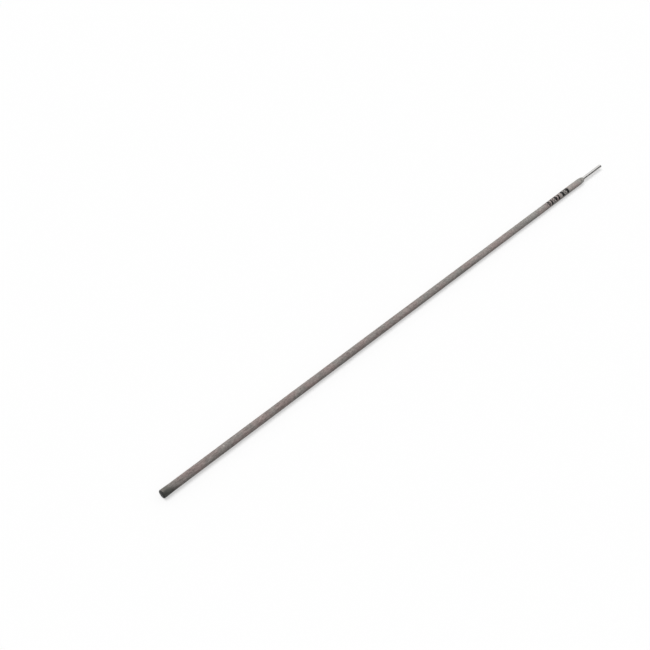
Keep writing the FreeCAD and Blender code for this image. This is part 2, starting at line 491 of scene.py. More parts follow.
def turned_skin_tree(relief: NodeBoard) -> NodeBoard:
    """Build the tree that turns a half section about the electrode's axis.

    Args:
        relief: the group that gives the relief's height.

    Returns:
        A board on the tree, whose inputs are the section, the sizes and the material.
    """
    takes = {"Half Section": Socket.SHAPE, "Segments": Socket.COUNT, "Girth": Socket.NUMBER}
    takes |= RELIEF_INPUTS | EDGE_INPUTS | ENDING_INPUTS
    board = NodeBoard.new("turned_skin", "GeometryNodeTree", takes, {"Skin": Socket.SHAPE})
    section = board.given("Half Section")
    rings = board.flow(board.place("GeometryNodeAttributeDomainSize", {"Geometry": section}))
    last = rings - 1
    feeds = {"Size X": last, "Size Y": 1.0, "Vertices X": rings}
    feeds["Vertices Y"] = board.given("Segments") + 1
    grid = board.place("GeometryNodeMeshGrid", feeds)

    across, around, _ = board.parts(board.place("GeometryNodeInputPosition").outputs[0])
    ring = across + last * 0.5
    share = around + 0.5
    angle = share * TURN

    def of_section(value: Any, index: Flow, kind: str = "FLOAT") -> Flow:
        """Read a value of the section's point at an index."""
        feeds = {"Geometry": section, "Value": value, "Index": index}
        return board.flow(board.place("GeometryNodeSampleIndex", feeds, data_type=kind))

    def named(label: str) -> bpy.types.NodeSocket:
        """Read a named attribute of the section."""
        return board.place("GeometryNodeInputNamedAttribute", {"Name": label}).outputs["Attribute"]

    here = board.math("ROUND", ring)
    lane = board.math("FLOOR", ring)

    def of_lane(label: str) -> Flow:
        """Read an attribute of the lane that a face lies on, for its corners."""
        feeds = {"Value": of_section(named(label), lane)}
        return board.flow(board.place("GeometryNodeFieldOnDomain", feeds, domain="FACE"))

    start, bottom = of_lane("start"), of_lane("bottom")
    u = (of_section(named("reach"), here) - start) / (of_lane("end") - start)
    v = bottom + share * (of_lane("top") - bottom)
    mapped = mapped_shape(board, grid.outputs["Mesh"], u, v)

    place = of_section(board.place("GeometryNodeInputPosition").outputs[0], here, "FLOAT_VECTOR")
    along, _, radius = board.parts(place)
    spot = board.around(along, radius, angle)
    rise = relief_rise(board, relief, along, angle) * of_section(named("relief"), here)
    seed = board.given("Seed")
    scour_width = board.given("Scour Width")
    scoured = board.stretched(spot, scour_width, scour_width * SCOUR_STRETCH)
    scour = board.noise(scoured, 2.0, seed + 2.0) * board.given("Scour Depth")
    rise = rise + scour * of_section(named("scour"), here)
    notches = board.stretched(spot, board.given("Drift Width"), board.given("Drift Width"))
    drift = board.noise(notches, 2.0, seed + 3.0) * board.given("Edge Drift")
    drift = drift * of_section(named("drift"), here)
    feeds = {"Geometry": mapped.outputs[0], "Position": board.around(along + drift, radius + rise, angle)}
    finish_tree(board, board.place("GeometryNodeSetPosition", feeds), "Skin")
    return board


def finish_tree(board: NodeBoard, shape: bpy.types.Node, result: str) -> None:
    """Weld a tree's shape, keep its sharp edges, and end the tree.

    Args:
        board: the tree's board, which takes a Sharp Angle, a Weld distance and a Material.
        shape: the node whose first output is the shape.
        result: name of the tree's output.
    """
    feeds = {"Geometry": shape.outputs[0], "Distance": board.given("Weld")}
    welded = board.place("GeometryNodeMergeByDistance", feeds)
    smooth = board.place("GeometryNodeSetShadeSmooth", {"Geometry": welded.outputs[0]}, domain="FACE")
    bend = board.flow(board.place("GeometryNodeInputMeshEdgeAngle"))
    feeds = {"Geometry": smooth.outputs[0], "Shade Smooth": False}
    feeds["Selection"] = board.math("GREATER_THAN", bend, board.given("Sharp Angle"))
    crisp = board.place("GeometryNodeSetShadeSmooth", feeds, domain="EDGE")
    real = board.place("GeometryNodeRealizeInstances", {"Geometry": crisp.outputs[0]})
    feeds = {"Geometry": real.outputs[0], "Material": board.given("Material")}
    board.give(result, board.flow(board.place("GeometryNodeSetMaterial", feeds)))


def run_tree(
    name: str, start: bpy.types.Mesh, board: NodeBoard, values: dict[str, Any]
) -> bpy.types.Object:
    """Run a tree on a mesh and keep what it makes as a plain mesh.

    Args:
        name: name of the finished piece.
        start: the mesh that the tree starts from.
        board: the tree's board.
        values: value of each input, by name.

    Returns:
        The piece, at the origin.
    """
    carrier = bpy.data.objects.new(name + "_start", start)
    bpy.context.scene.collection.objects.link(carrier)
    modifier = carrier.modifiers.new("Tree", "NODES")
    modifier.node_group = board.tree
    identifiers = {item.name: item.identifier for item in board.tree.interface.items_tree}
    for label, value in values.items():
        modifier[identifiers[label]] = value
    bpy.context.view_layer.update()
    made = carrier.evaluated_get(bpy.context.evaluated_depsgraph_get())
    mesh = bpy.data.meshes.new_from_object(made)
    mesh.name = name
    mesh.materials.pop(index=0)
    bpy.data.objects.remove(carrier)
    piece = bpy.data.objects.new(name, mesh)
    bpy.context.scene.collection.objects.link(piece)
    return piece


class Effects:
    """Shader groups for the effects that several finishes share. They give masks and tones only."""

    def __init__(self) -> None:
        """Build every group once."""
        self.lines = self._lines()
        self.grain = self._grain()
        self.patches = self._patches()
        self.reach = self._reach()
        self.rubs = self._rubs()

    @staticmethod
    def _new(name: str, takes: list[str], gives: list[str]) -> NodeBoard:
        """Start a group that reads a place on the piece and some numbers."""
        inputs = {"Place": Socket.VECTOR} | {label: Socket.NUMBER for label in [*takes, "Seed"]}
        return NodeBoard.new(name, "ShaderNodeTree", inputs, {label: Socket.NUMBER for label in gives})

    @staticmethod
    def _drawn_out(board: NodeBoard, feature: str) -> Flow:
        """Return a group's place in units of its feature's length and width."""
        length, width = board.given(feature + " Length"), board.given(feature + " Width")
        return board.stretched(board.given("Place"), length, width)

    def _lines(self) -> NodeBoard:
        """Fine lines along the electrode, as a die leaves them."""
        board = self._new("die_lines", ["Line Width", "Line Length"], ["Lines"])
        place = self._drawn_out(board, "Line")
        board.give("Lines", board.step(board.noise(place, 3.0, board.given("Seed")), -1.0, 1.0))
        return board

    def _grain(self) -> NodeBoard:
        """Mineral grain, with scattered specks."""
        sizes = ["Grain Size", "Speck Size", "Speck Share"]
        board = self._new("mineral_grain", sizes, ["Grain", "Specks"])
        size, seed = board.given("Grain Size"), board.given("Seed")
        fine = board.noise(board.stretched(board.given("Place"), size, size), 4.0, seed)
        board.give("Grain", board.step(fine, -1.0, 1.0))
        size = board.given("Speck Size")
        feeds = {"Vector": board.stretched(board.given("Place"), size, size), "W": seed, "Scale": 1.0}
        cells = board.place("ShaderNodeTexVoronoi", feeds, voronoi_dimensions="4D")
        red = board.flow(board.place("ShaderNodeSeparateColor", {"Color": cells.outputs["Color"]}))
        chosen = board.math("LESS_THAN", red, board.given("Speck Share"))
        board.give("Specks", chosen * (1.0 - board.step(board.flow(cells, "Distance"), 0.15, 0.5)))
        return board

    def _patches(self) -> NodeBoard:
        """Soft patches of shade and of warmth."""
        board = self._new("tone_patches", ["Patch Length", "Patch Width"], ["Shade", "Warmth"])
        place = self._drawn_out(board, "Patch")
        seed = board.given("Seed")
        board.give("Shade", board.step(board.noise(place, 2.0, seed), -1.0, 1.0))
        board.give("Warmth", board.step(board.noise(place, 2.0, seed + 5.0), -1.0, 1.0))
        return board

    def _reach(self) -> NodeBoard:
        """A ragged fade along the electrode, from 0 at one place to 1 at another."""
        board = self._new("ragged_reach", ["From", "To", "Wander", "Notch"], ["Mask"])
        notch = board.given("Notch")
        drift = board.noise(board.stretched(board.given("Place"), notch, notch), 3.0, board.given("Seed"))
        along = board.parts(board.given("Place"))[0] + drift * board.given("Wander")
        share = (along - board.given("From")) / (board.given("To") - board.given("From"))
        board.give("Mask", board.step(share, 0.0, 1.0))
        return board

    def _rubs(self) -> NodeBoard:
        """Scattered rubs and scratches from handling."""
        board = self._new("handling_rubs", ["Rub Length", "Rub Width", "Rub Share"], ["Rubs"])
        place = self._drawn_out(board, "Rub")
        level = board.noise(place, 2.0, board.given("Seed"))
        start = 1.0 - board.given("Rub Share")
        board.give("Rubs", board.step(level, start, start + 0.35))
        return board


class Dressing(NodeBoard):
    """The nodes of one material, which reads its place in the piece's own coordinates.

    Attributes:
        material: the material.
        effects: the shared shader groups.
        shader: its surface shader.
        spot: the place on the piece.
    """

    def __init__(self, name: str, effects: Effects, sheen: float = 0.5) -> None:
        """Start a material of that name, with a level of sheen that is 0.5 on plain paint."""
        self.material = bpy.data.materials.new(name)
        self.material.use_nodes = True
        super().__init__(self.material.node_tree)
        self.effects = effects
        self.shader = next(node for node in self.tree.nodes if node.type == "BSDF_PRINCIPLED")
        self.shader.inputs["Specular IOR Level"].default_value = sheen
        self.spot = self.flow(self.place("ShaderNodeTexCoord"), "Object")

    def _effect(self, group: NodeBoard, sizes: dict[str, float]) -> dict[str, Flow]:
        """Place a shared effect, and return its outputs."""
        return self.use(group, {"Place": self.spot} | sizes)

    def lines(self, width: float, length: float, seed: float) -> Flow:
        """Return fine lines along the electrode, or across it where they are wider than long."""
        sizes = {"Line Width": width, "Line Length": length, "Seed": seed}
        return self._effect(self.effects.lines, sizes)["Lines"]

    def grain(self, size: float, speck: float, share: float, seed: float) -> tuple[Flow, Flow]:
        """Return mineral grain of a size, and specks of a size on a share of the surface."""
        sizes = {"Grain Size": size, "Speck Size": speck, "Speck Share": share, "Seed": seed}
        made = self._effect(self.effects.grain, sizes)
        return made["Grain"], made["Specks"]

    def patches(self, length: float, width: float, seed: float) -> tuple[Flow, Flow]:
        """Return two soft patterns of patches of a length and width."""
        sizes = {"Patch Length": length, "Patch Width": width, "Seed": seed}
        made = self._effect(self.effects.patches, sizes)
        return made["Shade"], made["Warmth"]

    def reach(self, span: Point, wander: float, notch: float, seed: float) -> Flow:
        """Return a ragged fade along the electrode.

        Args:
            span: places where it is 0 and where it is full.
            wander: how far its edge wanders.
            notch: width of one notch of the edge.
            seed: picks the pattern.

        Returns:
            The mask.
        """
        sizes = {"From": span[0], "To": span[1], "Wander": wander, "Notch": notch, "Seed": seed}
        return self._effect(self.effects.reach, sizes)["Mask"]

    def rubs(self, length: float, width: float, share: float, seed: float) -> Flow:
        """Return scattered rubs of a length and width on a share of the surface."""
        sizes = {"Rub Length": length, "Rub Width": width, "Rub Share": share, "Seed": seed}
        return self._effect(self.effects.rubs, sizes)["Rubs"]

    def mixed(self, layers: tuple[Flow, ...], shares: Shares) -> Flow:
        """Return the sum of some layers, each times its share."""
        return sum((layer * share for layer, share in zip(layers, shares)), 0.0)

    def between(self, mask: Flow, span: Point) -> Flow:
        """Return the span's first value where a mask is 0, and its second where it is 1."""
        return mask * (span[1] - span[0]) + span[0]

    def off_axis(self) -> Flow:
        """Return the distance from the electrode's axis."""
        _, across, up = self.parts(self.spot)
        return self.math("SQRT", across * across + up * up)

    def facing(self, angle: float, start: float, end: float) -> Flow:
        """Return a soft mask on the side that faces an angle round the axis.

        Args:
            angle: the angle, from +Y towards +Z.
            start: distance from the axis in that direction at which the mask starts.
            end: distance at which it is full.

        Returns:
            The mask.
        """
        _, across, up = self.parts(self.spot)
        return self.step(across * math.cos(angle) + up * math.sin(angle), start, end)

    def near(self, spot: tuple[float, float, float], radius: float) -> Flow:
        """Return a soft mask round one spot, out to a radius."""
        distance = self.place("ShaderNodeVectorMath", {0: self.spot, 1: spot}, operation="DISTANCE")
        return 1.0 - self.step(self.flow(distance, "Value"), radius * 0.5, radius)

    def shaded(self, colour: Any, tone: Flow) -> Flow:
        """Return a colour made lighter or darker."""
        return self.flow(self.place("ShaderNodeVectorMath", {0: colour, "Scale": tone}, operation="SCALE"))

    def finish(self, colour: Flow, roughness: Flow, height: Flow, depth: float) -> bpy.types.Material:
        """Feed the shader.

        Args:
            colour: base colour.
            roughness: roughness.
            height: fine relief from 0 to 1.
            depth: what its full rise comes to.

        Returns:
            The finished material.
        """
        self.feed(self.shader.inputs["Base Color"], colour)
        self.feed(self.shader.inputs["Roughness"], roughness)
        bump = self.place("ShaderNodeBump", {"Height": height, "Distance": depth, "Strength": 1.0})
        self.feed(self.shader.inputs["Normal"], bump.outputs["Normal"])
        return self.material


@dataclass(frozen=True)
class FluxFinish:
    """Matt extruded mineral coat: warm grey, drawn out along the electrode, brushed pale at its shoulder.

    Attributes:
        warm: the warmer of its two greys.
        cool: the cooler.
        pale: broken grain, chips and rubs.
        brushed: the shoulder where the brush has opened it.
        sooty_and_shade: what the graphite leaves beside the dip, and the painted shade on its lower side.
        least_tone: its tone at the striking end where each layer is at its darkest.
        tone_shares: what its shade, lines, streaks, grain and mottle add to that.
        fall: painted light: how much darker it is made towards the striking end than at the grip, where the
            light is brighter.
        painted_end_shade: painted shade: how much darker it is made again beside the striking end.
        painted_end_shade_span: where that ends, as shares of its length from the striking end.
        least_warmth: share of the warm grey at the grip where the patches have none.
        warm_shares: what the patches and the distance from the grip add to that.
        speck_share: how far a speck goes to the pale colour.
        rub_share: how far a rub goes to it.
        roughness: its roughness.
        roughening: what the grain and the smear, with its painted shade side, add to it.
        heights: share of the fine relief that its lines, grain, specks, rubs and chip have.
        depth: depth of the fine relief.
        shoulder: where the brushing starts and where it is full, from the coat's end at the grip.
        scrubbed: cover of the brushed colour, from its least to its most.
        opened: tone of the brushed colour, from its darkest to its lightest.
        smear_and_shade: where the graphite's smear and the painted shade beside the dip stop and where they
            are full, from the striking face.
        shaded_side_angle: angle round the axis of the lower side, on which the smear is deepened to painted
            shade.
        shaded_side_span: distances from the axis on that side where the painted shade starts and where it
            is full.
        smear_and_shade_cover: cover of the smear on the other side, and of smear with painted shade on that
            side.
        smear_and_shade_share: how far the smear and painted shade go to the sooty and shaded colour.
        chip: place of the one small chip, from the striking face, and its angle round the axis.
        chip_radius: radius of the chip.
    """

    warm: Colour = (0.310, 0.250, 0.236)
    cool: Colour = (0.272, 0.260, 0.244)
    pale: Colour = (0.46, 0.42, 0.395)
    brushed: Colour = (0.36, 0.36, 0.335)
    sooty_and_shade: Colour = (0.060, 0.055, 0.050)
    least_tone: float = 0.17
    tone_shares: Shares = (0.18, 0.22, 0.14, 0.24, 0.52)
    fall: float = 0.42
    # Painted shade beside the striking end, and its span
    painted_end_shade: float = 0.10
    painted_end_shade_span: Point = (-0.02, 0.14)
    least_warmth: float = -0.35
    warm_shares: Shares = (1.1, 0.5)
    speck_share: float = 0.5
    rub_share: float = 0.3
    roughness: float = 0.84
    roughening: Shares = (0.1, -0.2)
    heights: Shares = (0.5, 0.6, 0.4, -0.3, -0.8)
    depth: float = 0.03 * MM
    shoulder: Point = (-7.5 * MM, -3.0 * MM)
    scrubbed: Point = (0.3, 1.0)
    opened: Point = (0.45, 1.35)
    # Smear beside the dip; its full strength on the lower side is painted shade.
    smear_and_shade: Point = (9.5 * MM, 3.8 * MM)
    shaded_side_angle: float = math.radians(205)
    shaded_side_span: Point = (-0.2 * MM, 1.0 * MM)
    smear_and_shade_cover: Point = (0.15, 1.0)
    smear_and_shade_share: float = 0.9
    chip: Point = (35.1 * MM, math.radians(94))
    chip_radius: float = 0.6 * MM

    def material(self, effects: Effects) -> bpy.types.Material:
        """Build the material.

        Args:
            effects: the shared shader groups.

        Returns:
            The finished material.
        """
        coat = Dressing("flux_coat_finish", effects, sheen=0.3)
        low, high = Packed.FLUX_COATING.extent()
        lines = coat.lines(width=0.24 * MM, length=8 * MM, seed=1.0)
        streaks = coat.lines(width=1.1 * MM, length=30 * MM, seed=2.0)
        grain, specks = coat.grain(size=0.3 * MM, speck=0.8 * MM, share=0.05, seed=3.0)
        shade, warmth = coat.patches(length=7 * MM, width=4 * MM, seed=4.0)
        rubs = coat.rubs(length=3.5 * MM, width=0.8 * MM, share=0.1, seed=5.0)
        mottle = coat.lines(width=0.7 * MM, length=1.6 * MM, seed=9.0)

        along = (coat.parts(coat.spot)[0] - low.x) / (high.x - low.x)
        tone = coat.mixed((shade, lines, streaks, grain, mottle), self.tone_shares) + self.least_tone
        # Painted light: the coat is made lighter towards the grip, and painted shade darkens it beside the
        # striking end.
        tone = tone + along * along * along * self.fall
        tone = tone + coat.step(along, *self.painted_end_shade_span) * self.painted_end_shade
        warmth = coat.mixed((warmth, 1.0 - along), self.warm_shares) + self.least_warmth
        colour = coat.shaded(coat.blend(warmth, self.cool, self.warm), tone)
        colour = coat.blend(specks * self.speck_share, colour, self.pale)
        colour = coat.blend(rubs * self.rub_share, colour, self.pale)

        place, angle = self.chip
        spot = (low.x + place, high.z * math.cos(angle), high.z * math.sin(angle))
        chip = coat.near(spot, self.chip_radius)
        colour = coat.blend(chip, colour, self.pale)

        brushing = coat.reach(from_end(high.x, self.shoulder), wander=0.8 * MM, notch=1.2 * MM, seed=6.0)
        opened, scrubbed = coat.patches(length=1.3 * MM, width=1.3 * MM, seed=7.0)
        brushed = coat.shaded(self.brushed, coat.between(opened, self.opened))
        colour = coat.blend(brushing * coat.between(scrubbed, self.scrubbed), colour, brushed)

        # Graphite smear beside the dip: the faint part all round is real; its full strength on the lower
        # side is painted shade.
        smear_and_shade = coat.reach(from_end(low.x, self.smear_and_shade), wander=1.6 * MM, notch=1.8 * MM, seed=8.0)
        painted_shade_side = coat.facing(self.shaded_side_angle, *self.shaded_side_span)
        smear_and_shade = smear_and_shade * coat.between(painted_shade_side, self.smear_and_shade_cover)
        colour = coat.blend(smear_and_shade * self.smear_and_shade_share, colour, self.sooty_and_shade)

        roughness = self.roughness + coat.mixed((grain, smear_and_shade), self.roughening)
        height = coat.mixed((lines, grain, specks, rubs, chip), self.heights)
        return coat.finish(colour, roughness, height, self.depth)


@dataclass(frozen=True)
class GraphiteFinish:
    """Dried graphite: black over the face and rim, and a thin dull film along the side.

    Attributes:
        black: where it is thick.
        worn: where it is rubbed.
        film: where it is thin enough for the coat to show through.
        bare: the coat itself, where the film is gone.
        thick: where the film starts to thin and where it is thin, from the striking face.
        ending: where the film starts to fail and where it stops, from the striking face.
        above_angle: angle of the side that the film is rubbed on, round the axis.
        above_side: distances from the axis on that side where the rubbing starts and where it is full.
        seat: edge of the wire's end under the face, as shares of the wire's radius.
        worn_shares: what the shade, the grain and the wire's end add to the worn colour on the face.
        film_tones: tone of the film, from its darkest to its lightest.
        above_cover: share of the bare colour on the rubbed side, from its least to its most.
        ending_cover: share of the bare colour where the film fails, away from that side and on it.
        rub_share: how far a rub goes to the bare colour.
        speck_share: how far a speck goes to the film's colour.
        roughness: its roughness.
        roughening: what the grain and the thinning add to it.
        heights: share of the fine relief that the grain, the shade, the specks and the wire's end have.
        depth: depth of the fine relief.
    """

    black: Colour = (0.013, 0.0135, 0.0135)
    worn: Colour = (0.055, 0.057, 0.053)
    film: Colour = (0.076, 0.077, 0.070)
    bare: Colour = (0.225, 0.208, 0.190)
    thick: Point = (0.3 * MM, 0.95 * MM)
    ending: Point = (3.2 * MM, 4.9 * MM)
    above_angle: float = math.radians(50)
    above_side: Point = (0.5 * MM, 1.8 * MM)
    seat: Point = (0.92, 1.04)
    worn_shares: Shares = (0.35, 0.25, 0.2)
    film_tones: Point = (0.65, 1.25)
    above_cover: Point = (0.35, 0.95)
    ending_cover: Point = (0.4, 1.0)
    rub_share: float = 0.3
    speck_share: float = 0.3
    roughness: float = 0.58
    roughening: Shares = (0.2, 0.2)
    heights: Shares = (0.7, 0.5, 0.3, -0.6)
    depth: float = 0.03 * MM

    def material(self, effects: Effects) -> bpy.types.Material:
        """Build the material.

        Args:
            effects: the shared shader groups.

        Returns:
            The finished material.
        """
        dip = Dressing("graphite_dip_finish", effects, sheen=0.35)
        face = Packed.FLUX_COATING.extent()[0].x
        wire = Packed.CORE_WIRE.extent()[1].z
        grain, specks = dip.grain(size=0.25 * MM, speck=0.5 * MM, share=0.05, seed=11.0)
        shade, depth = dip.patches(length=2.0 * MM, width=1.4 * MM, seed=12.0)
        rubs = dip.rubs(length=1.5 * MM, width=0.5 * MM, share=0.3, seed=13.0)
        thinning = dip.reach(from_end(face, self.thick), wander=0.35 * MM, notch=1.0 * MM, seed=14.0)
        ending = dip.reach(from_end(face, self.ending), wander=0.8 * MM, notch=1.1 * MM, seed=15.0)
        above = dip.facing(self.above_angle, *self.above_side)
        seat = 1.0 - dip.step(dip.off_axis(), wire * self.seat[0], wire * self.seat[1])

        worn = dip.mixed((shade, grain, seat), self.worn_shares)
        colour = dip.blend(worn, self.black, self.worn)
        film = dip.shaded(self.film, dip.between(depth, self.film_tones))
        colour = dip.blend(thinning, colour, film)
        colour = dip.blend(thinning * above * dip.between(shade, self.above_cover), colour, self.bare)
        colour = dip.blend(ending * dip.between(above, self.ending_cover), colour, self.bare)
        colour = dip.blend(rubs * thinning * self.rub_share, colour, self.bare)
        colour = dip.blend(specks * self.speck_share, colour, self.film)
        roughness = self.roughness + dip.mixed((grain, thinning), self.roughening)
        height = dip.mixed((grain, shade, specks, seat), self.heights)
        return dip.finish(colour, roughness, height, self.depth)


@dataclass(frozen=True)
class WireFinish:
    """Drawn steel wire, brushed bright at the grip, with flux dust left beside the coat.

    Attributes:
        bright: bright steel.
        dull: duller bands along it.
        torn: nicks, and the torn half of the cropped face.
        dust: flux that the brush left.
        bright_shares: what the bands, lines, brushing and shade add towards bright steel.
        nick_share: how far a nick goes to the torn colour.
        torn_share: how far the torn half of the face goes to it.
        dusty: where the dust starts and where it is full, from the coat's end.
        face: depth of the cropped face, from just behind it to the face.
        torn_edge: where the torn half starts across the face and where it is full.
        roughness: roughness of the bright steel.
        roughening: what the lines, brushing, dust and torn half add to it.
        heights: share of the fine relief that the lines, brushing, dust and torn half have.
        depth: depth of the fine relief.
    """

    bright: Colour = (0.84, 0.825, 0.81)
    dull: Colour = (0.50, 0.485, 0.475)
    torn: Colour = (0.17, 0.16, 0.15)
    dust: Colour = (0.33, 0.31, 0.29)
    bright_shares: Shares = (0.55, 0.2, 0.1, 0.15)
    nick_share: float = 0.5
    torn_share: float = 0.7
    dusty: Point = (2.2 * MM, -0.2 * MM)
    face: Point = (-0.12 * MM, -0.04 * MM)
    torn_edge: Point = (0.35 * MM, -0.25 * MM)
    roughness: float = 0.18
    roughening: Shares = (0.08, 0.06, 0.45, 0.25)
    heights: Shares = (0.5, 0.4, 0.8, 1.0)
    depth: float = 0.012 * MM

    def material(self, effects: Effects) -> bpy.types.Material:
        """Build the material.

        Args:
            effects: the shared shader groups.

        Returns:
            The finished material.
        """
        wire = Dressing("bright_wire_finish", effects)
        lip = Packed.FLUX_COATING.extent()[1].x
        bands = wire.lines(width=0.7 * MM, length=40 * MM, seed=20.0)
        lines = wire.lines(width=0.1 * MM, length=6 * MM, seed=21.0)
        brushed = wire.lines(width=1.4 * MM, length=0.12 * MM, seed=22.0)
        shade, _ = wire.patches(length=4 * MM, width=1.2 * MM, seed=23.0)
        grain, nicks = wire.grain(size=0.18 * MM, speck=0.45 * MM, share=0.05, seed=24.0)
        dust = wire.reach(from_end(lip, self.dusty), wander=0.8 * MM, notch=0.7 * MM, seed=25.0) * grain

        along, across, _ = wire.parts(wire.spot)
        torn = wire.step(along, *self.face) * wire.step(across, *self.torn_edge)

        light = wire.mixed((bands, lines, brushed, shade), self.bright_shares)
        colour = wire.blend(light, self.dull, self.bright)
        colour = wire.blend(nicks * self.nick_share + torn * self.torn_share, colour, self.torn)
        colour = wire.blend(dust, colour, self.dust)
        wire.feed(wire.shader.inputs["Metallic"], 1.0 - dust)
        roughness = self.roughness + wire.mixed((lines, brushed, dust, torn), self.roughening)
        height = wire.mixed((lines, brushed, dust, torn * grain), self.heights)
        return wire.finish(colour, roughness, height, self.depth)


@dataclass(frozen=True)
class InkFinish:
    """Black marking ink, rolled on and rubbed thin in places.

    Attributes:
        ink: solid ink.
        thin: worn ink, with the coat showing through.
        grain_share: how far the grain goes to the worn colour.
        gap_share: how far a small gap goes to it.
        rub_share: how far a rub goes to it.
        roughness: its roughness.
        roughening: what the grain adds to it.
        heights: share of the fine relief that the grain and the rubs have.
        depth: depth of the fine relief.
    """

    ink: Colour = (0.012, 0.012, 0.013)
    thin: Colour = (0.11, 0.10, 0.092)
    grain_share: float = 0.12
    gap_share: float = 0.7
    rub_share: float = 0.6
    roughness: float = 0.65
    roughening: float = 0.2
    heights: Shares = (1.0, -0.5)
    depth: float = 0.01 * MM

    def material(self, effects: Effects) -> bpy.types.Material:
        """Build the material.

        Args:
            effects: the shared shader groups.

        Returns:
            The finished material.
        """
        marks = Dressing("marking_ink_finish", effects, sheen=0.2)
        grain, gaps = marks.grain(size=0.2 * MM, speck=0.4 * MM, share=0.14, seed=31.0)
        rubs = marks.rubs(length=1.8 * MM, width=0.4 * MM, share=0.16, seed=32.0)
        colour = marks.blend(grain * self.grain_share, self.ink, self.thin)
        colour = marks.blend(gaps * self.gap_share, colour, self.thin)
        colour = marks.blend(rubs * self.rub_share, colour, self.thin)
        roughness = self.roughness + grain * self.roughening
        return marks.finish(colour, roughness, marks.mixed((grain, rubs), self.heights), self.depth)


def rise_between(value: float, start: float, end: float) -> float:
    """Return a smooth rise from 0 at start to 1 at end."""
    share = min(1.0, max(0.0, (value - start) / (end - start)))
    return share * share * (3 - 2 * share)


@dataclass
class Skin:
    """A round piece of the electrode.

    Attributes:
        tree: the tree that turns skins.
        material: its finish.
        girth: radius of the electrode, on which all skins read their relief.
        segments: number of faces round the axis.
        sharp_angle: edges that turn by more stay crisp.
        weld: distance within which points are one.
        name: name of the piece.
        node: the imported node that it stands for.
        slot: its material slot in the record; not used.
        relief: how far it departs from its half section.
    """

    tree: NodeBoard
    material: bpy.types.Material
    girth: float
    segments: int = 64
    sharp_angle: float = math.radians(32)
    weld: float = 0.002 * MM
    name: str = ""
    node: Packed = Packed.CORE_WIRE
    slot: Slot = Slot.WIRE
    relief: ReliefSizes = field(default_factory=ReliefSizes)

    def half_section(self) -> HalfSection:
        """Return the section that is turned."""
        raise NotImplementedError

    def build(self) -> bpy.types.Object:
        """Turn the section, and put the piece in its node's place."""
        values = {
            "Segments": self.segments,
            "Girth": self.girth,
            "Sharp Angle": self.sharp_angle,
            "Weld": self.weld,
            "Material": self.material,
        }
        values |= self.relief.as_inputs() | self.relief.as_edge_inputs()
        section = self.half_section().mesh(self.name + "_section")
        piece = run_tree(self.name, section, self.tree, values)
        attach(piece, BODY)
        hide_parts(self.node.value)
        return piece


@dataclass
class CoreWire(Skin):
    """The drawn steel wire, whole from its cropped end to the striking face.

    Attributes:
        bevel: edge break round the cropped end.
        under: how far the fine rings run on under the coat.
        settled: distance from the cropped end at which its relief is full.
    """

    name: str = "drawn_core_wire"
    node: Packed = Packed.CORE_WIRE
    slot: Slot = Slot.WIRE
    relief: ReliefSizes = ReliefSizes(
        line_depth=0.004 * MM,
        line_width=0.25 * MM,
        line_length=5 * MM,
        scour_depth=0.004 * MM,
        scour_width=0.3 * MM,
        edge_drift=0.035 * MM,
        drift_width=0.5 * MM,
        seed=40.0,
    )
    bevel: float = 0.2 * MM
    under: float = 1 * MM
    settled: float = 2 * MM

    def half_section(self) -> HalfSection:
        """Run from the cropped face along the bare wire, and plainly on inside the coat."""
        low, high = self.node.extent()
        radius = high.z
        shown = Packed.FLUX_COATING.extent()[1].x - self.under

        def cropped(x: float, distance: float) -> Ring:
            """A ring of the cropped face, which shearing leaves a little rough."""
            return Ring(x, distance, drift=1.0)

        def bare(x: float, distance: float) -> Ring:
            """A ring of the bare wire."""
            share = rise_between(x, high.x - self.bevel, high.x - self.settled)
            return Ring(x, distance, relief=share, scour=share)

        def hidden(x: float, distance: float) -> Ring:
            """A ring inside the coat."""
            return Ring(x, distance)

        section = HalfSection(high.x, 0.0, cropped)
        section.line(high.x, radius - self.bevel, steps=9, finish=cropped)
        section.line(high.x - self.bevel, radius, steps=2, finish=bare).lane(0.2)
        section.line(shown, radius, steps=80, finish=bare).lane(0.74, folds=2)
        section.line(low.x, radius, steps=4, finish=hidden)
        section.line(low.x, 0.0, steps=1, finish=hidden).lane(0.06)
        return section


